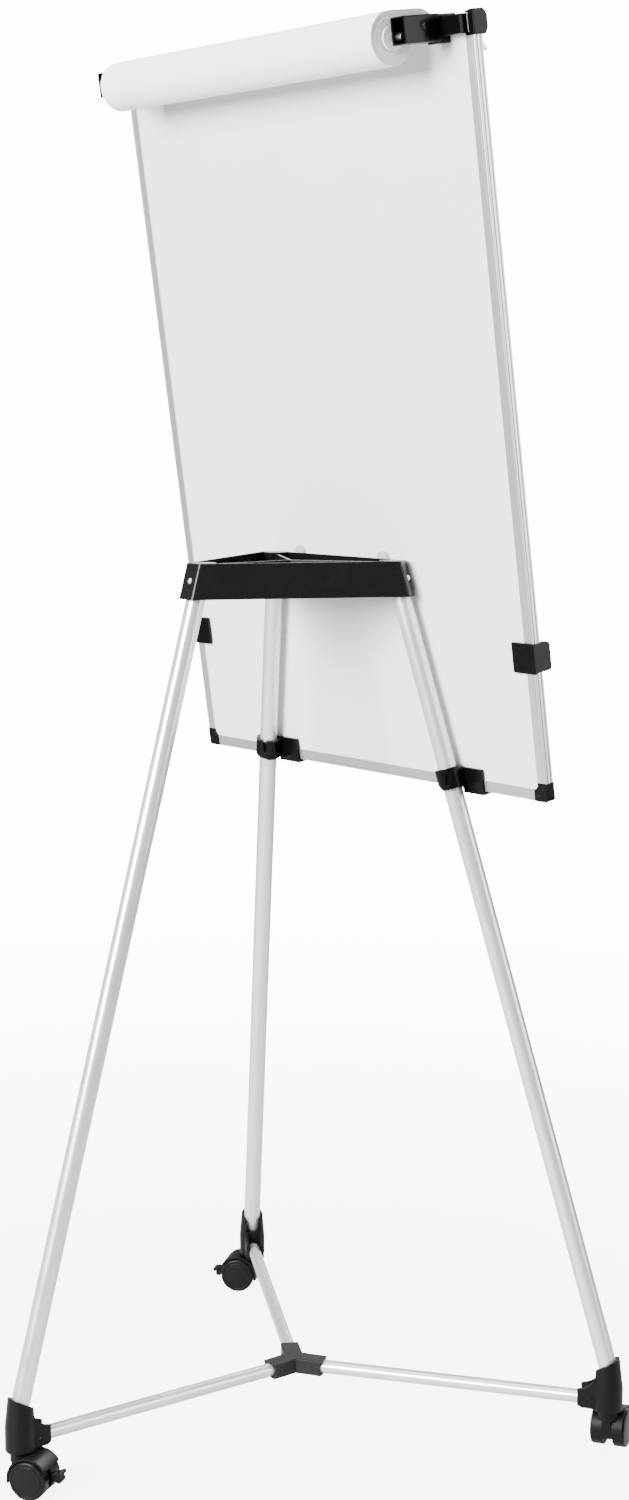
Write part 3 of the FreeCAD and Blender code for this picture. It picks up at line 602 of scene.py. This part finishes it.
class EASEL_OT_hung_sheet(Operator):
    """Hang the paper from the roll over the rail and down the board's face"""

    bl_idname = "easel.hung_sheet"
    bl_label = "Hanging sheet"

    def execute(self, context):
        paper = context.scene.easel_paper
        path = self.path()
        far = np.append(0.0, np.cumsum(np.linalg.norm(np.diff(path, axis=0), axis=1)))
        low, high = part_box("hung_sheet")
        half = (high[0] - low[0]) / 2
        points = self.surface(path, far, half, paper)
        sheet = new_piece("paper_sheet", points, grid_faces(*points.shape[:2]), "paper", "board")
        thick = sheet.modifiers.new("thickness", "SOLIDIFY")
        thick.thickness, thick.offset = 0.0002, 0.0
        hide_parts("hung_sheet")
        return {"FINISHED"}

    def path(self):
        """Side view, (rearward, up): level off the roll's top, an easy fall to the rail, a quarter
        turn round its front corner, and straight down the face."""
        roll = np.mean(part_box("paper_roll"), axis=0) - BOARD_FOOT
        low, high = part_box("paper_roll")
        top = float(roll @ BOARD_UP) + (high[2] - low[2]) / 2 + 0.0003
        level = np.linspace(float(roll @ BOARD_REAR), 0.020, 12)
        fall = np.array([0.014, 0.009, 0.004, -0.001, -0.005])
        sink = np.array([0.0003, 0.0015, 0.0038, 0.0066, 0.0090])
        turn = np.radians(np.linspace(120.0, 180.0, 7))
        return np.concatenate([
            np.stack([level, np.full(12, top)], -1), np.stack([fall, top - sink], -1),
            np.stack([RAIL_CORNER[0] + TURN_RADIUS * np.cos(turn),
                      RAIL_CORNER[1] + TURN_RADIUS * np.sin(turn)], -1),
            np.stack([np.full(70, PAPER_PLANE), np.linspace(0.935, PAPER_LOW, 70)], -1)])

    def surface(self, path, far, half, paper, across=90):
        """Path carried across the board, x from -half to half. Past the clamp bar it stands off by
        wave*d*(1 + sin(9x + 2.5d + 1))/2, with d from 0 there to 1 at the bottom edge, where the
        last 90 mm also lift by curl*e*e, e from 0 to 1."""
        x = np.linspace(-half, half, across)[:, None]
        d = np.clip((far - 0.125) / (far[-1] - 0.125), 0.0, 1.0)[None, :]
        e = np.clip((far - far[-1] + 0.09) / 0.09, 0.0, 1.0)[None, :]
        off = paper.wave * d * 0.5 * (1.0 + np.sin(9.0 * x + 2.5 * d + 1.0)) + paper.curl * e * e
        return on_board(x, path[None, :, 0] - off, path[None, :, 1])


def aim(obj, at, target):
    """Place an object and turn its -Z towards the target."""
    obj.location = at
    obj.rotation_euler = (Vector(target) - Vector(at)).to_track_quat("-Z", "Y").to_euler()


def lamp(name, power, size, at, target):
    """Soft rectangular lamp that faces its target."""
    data = bpy.data.lights.new(name, "AREA")
    data.energy = power
    data.shape = "RECTANGLE"
    data.size, data.size_y = size
    obj = bpy.data.objects.new(name, data)
    bpy.context.collection.objects.link(obj)
    aim(obj, at, target)


def floor_disc(radius, rings=24, steps=96):
    """Flat disc: rings of points at radius*(k/rings)^1.5, joined ring to ring, with a centre fan."""
    t = np.linspace(0, 2 * np.pi, steps, endpoint=False)
    r = radius * (np.arange(1, rings + 1) / rings) ** 1.5
    ring = np.stack([np.outer(r, np.cos(t)), np.outer(r, np.sin(t)), np.zeros((rings, steps))], -1)
    points = np.concatenate([[[0.0, 0.0, 0.0]], ring.reshape(-1, 3)])
    k = np.arange(steps)
    n = (k + 1) % steps
    fan = [(0, 1 + a, 1 + b) for a, b in zip(k.tolist(), n.tolist())]
    base = 1 + np.arange(rings - 1)[:, None] * steps
    quads = np.stack([base + k, base + steps + k, base + steps + n, base + n], -1).reshape(-1, 4)
    mesh = bpy.data.meshes.new("floor")
    mesh.from_pydata(points.tolist(), [], fan + quads.tolist())
    return mesh


class EASEL_OT_stage(Operator):
    """Lay the floor, hang the lamps and stand the camera"""

    bl_idname = "easel.stage"
    bl_label = "Studio"

    def execute(self, context):
        look = context.scene.easel_stage
        self.lay_floor(look)
        self.hang_lamps(look)
        self.light_room(context.scene, look)
        self.stand_camera(context.scene, look)
        return {"FINISHED"}

    def lay_floor(self, look):
        floor = bpy.data.objects.new("floor", floor_disc(9.0))
        floor.location = (0.0, 0.0, CAD_BOX[0][2] - 0.0002)
        bpy.context.collection.objects.link(floor)
        mat = Finish("floor_coat")
        where = mat.coords()
        mat.set(Base_Color=mat.mix(mat.noise(where, 3.0, 3.0, 0.5), rgba(look.floor, 0.99),
                                   rgba(look.floor, 1.01)),
                Roughness=mat.remap(mat.noise(where, 40.0, 3.0, 0.5), 0.3, 0.7, 0.55, 0.68))
        away = mat.add("ShaderNodeVectorMath", operation="LENGTH")
        mat.link(where, away.inputs[0])
        mat.set(Alpha=mat.remap(away.outputs["Value"], 0.7, 3.6, 0.6, 0.0))
        floor.data.materials.append(mat.material)

    def hang_lamps(self, look):
        lamp("key_lamp", look.key, (2.4, 2.2), (-0.4, 4.5, 2.5), (0.0, 0.0, 0.9))
        lamp("side_lamp", look.fill * 0.38, (2.4, 3.2), (-3.5, -2.6, 1.9), (0.0, 0.0, 0.9))
        lamp("front_lamp", look.fill, (2.4, 2.4), (1.6, -4.2, 2.8), (0.0, 0.0, 1.0))
        lamp("top_lamp", look.fill * 0.6, (2.6, 2.6), (0.2, 0.4, 4.8), (0.0, 0.0, 0.0))

    def light_room(self, scene, look):
        """Pale to the eye all round, and dimmer in reflections, so that black parts stay black."""
        world = bpy.data.worlds.new("room")
        world.use_nodes = True
        scene.world = world
        web = Web(world.node_tree)
        web.tree.nodes.clear()
        mix = web.add("ShaderNodeMixShader")
        web.link(web.add("ShaderNodeLightPath").outputs["Is Camera Ray"], mix.inputs[0])
        sides = (((0.97, 0.98, 1.0, 1.0), look.room), ((1.0, 1.0, 1.0, 1.0), look.backdrop))
        for into, (colour, strength) in zip(mix.inputs[1:], sides):
            glow = web.add("ShaderNodeBackground")
            glow.inputs["Color"].default_value = colour
            glow.inputs["Strength"].default_value = strength
            web.link(glow.outputs[0], into)
        web.link(mix.outputs[0], web.add("ShaderNodeOutputWorld").inputs["Surface"])

    def stand_camera(self, scene, look):
        data = bpy.data.cameras.new("camera")
        data.lens = look.lens
        data.clip_start, data.clip_end = 0.05, 60.0
        camera = bpy.data.objects.new("camera", data)
        bpy.context.collection.objects.link(camera)
        camera.location = look.stand
        camera.rotation_euler = look.turn
        scene.camera = camera


class EASEL_PT_panel(Panel):
    """Buttons and settings for the easel"""

    bl_idname = "EASEL_PT_panel"
    bl_label = "Easel"
    bl_space_type = "VIEW_3D"
    bl_region_type = "UI"
    bl_category = "Easel"

    def draw(self, context):
        layout = self.layout
        scene = context.scene
        for group in (scene.easel_finish, scene.easel_paper, scene.easel_stage):
            box = layout.box()
            for name in group.__annotations__:
                box.prop(group, name)
        for step in STEPS:
            layout.operator("easel." + step)


STEPS = ("finishes", "paper_roll", "hung_sheet", "stage")
CLASSES = (EaselFinish, EaselPaper, EaselStage, EASEL_OT_finishes, EASEL_OT_paper_roll,
           EASEL_OT_hung_sheet, EASEL_OT_stage, EASEL_PT_panel)


def register():
    for cls in CLASSES:
        bpy.utils.register_class(cls)
    bpy.types.Scene.easel_finish = PointerProperty(type=EaselFinish)
    bpy.types.Scene.easel_paper = PointerProperty(type=EaselPaper)
    bpy.types.Scene.easel_stage = PointerProperty(type=EaselStage)


def unregister():
    del bpy.types.Scene.easel_stage
    del bpy.types.Scene.easel_paper
    del bpy.types.Scene.easel_finish
    for cls in reversed(CLASSES):
        bpy.utils.unregister_class(cls)


def main():
    """Register and build everything in order."""
    register()
    for step in STEPS:
        getattr(bpy.ops.easel, step)()


if __name__ == "__main__":
    main()
